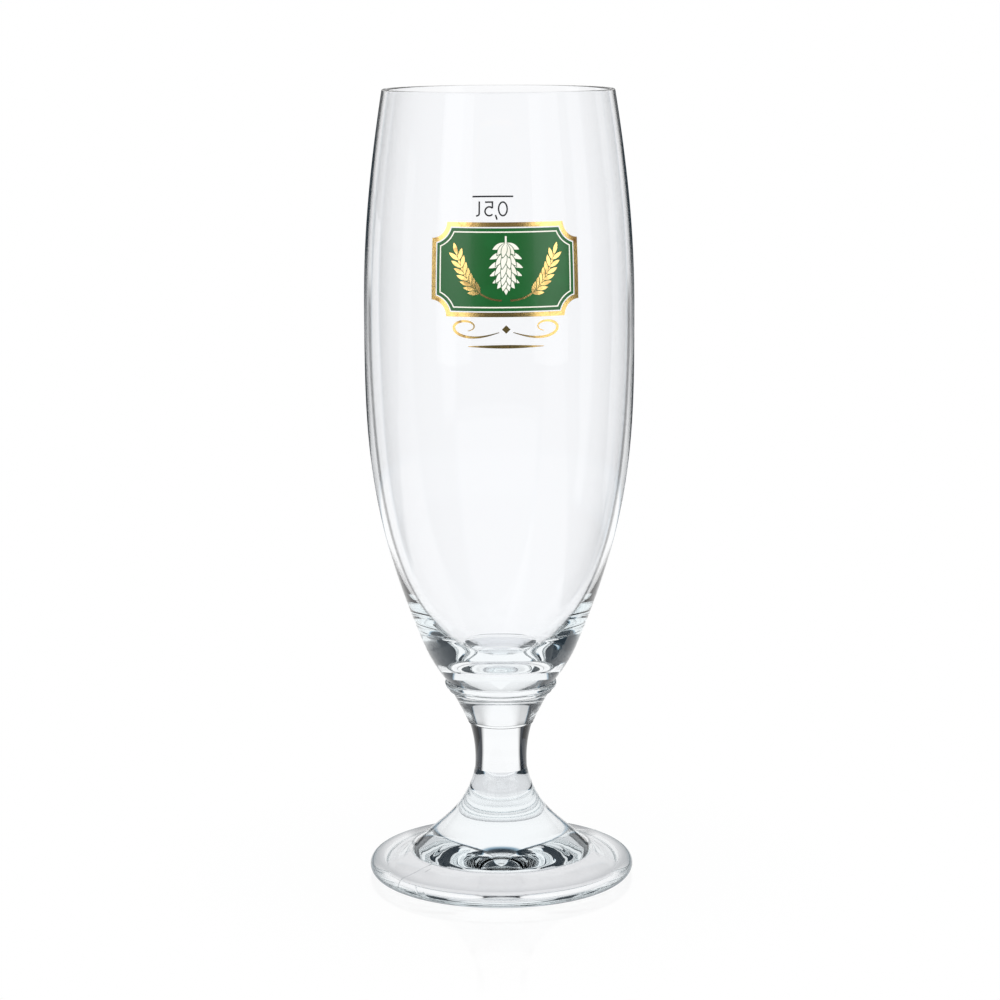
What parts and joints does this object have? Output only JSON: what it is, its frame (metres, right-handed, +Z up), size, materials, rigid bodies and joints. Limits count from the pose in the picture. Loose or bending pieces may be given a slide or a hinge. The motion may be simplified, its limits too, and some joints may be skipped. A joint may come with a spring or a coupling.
{
  "type": "stemmed beer goblet",
  "caption": "Tall clear-glass beer goblet with a swelling bowl, short collared stem and bell-shaped foot, a fill mark at the back and a badge print at the front.",
  "frame": {"origin": "on the table, under the middle of the foot", "axes": "+Z up along the axis of the glass, the badge faces -Y and the fill mark faces +Y"},
  "size_m": [0.0802, 0.0803, 0.237],
  "materials": {
    "clear_glass": "clear, fire-polished",
    "grey_enamel": "fired-on dark grey enamel, satin",
    "gold_print": "fired-on bright gold",
    "green_enamel": "fired-on green enamel, glossy",
    "cream_enamel": "fired-on cream enamel, glossy"
  },
  "bodies": {
    "root": {"bowl": "clear_glass", "stem": "clear_glass", "foot": "clear_glass", "fill_line": "grey_enamel", "fill_zero": "grey_enamel", "fill_comma": "grey_enamel", "fill_five": "grey_enamel", "fill_litre": "grey_enamel", "plaque_border": "gold_print", "barley_left": "gold_print", "barley_right": "gold_print", "scroll_left": "gold_print", "scroll_right": "gold_print", "scroll_diamond": "gold_print", "swelled_rule": "gold_print", "plaque_field": "green_enamel", "plaque_keyline": "cream_enamel", "hop_cone": "cream_enamel"}
  },
  "joints": []
}
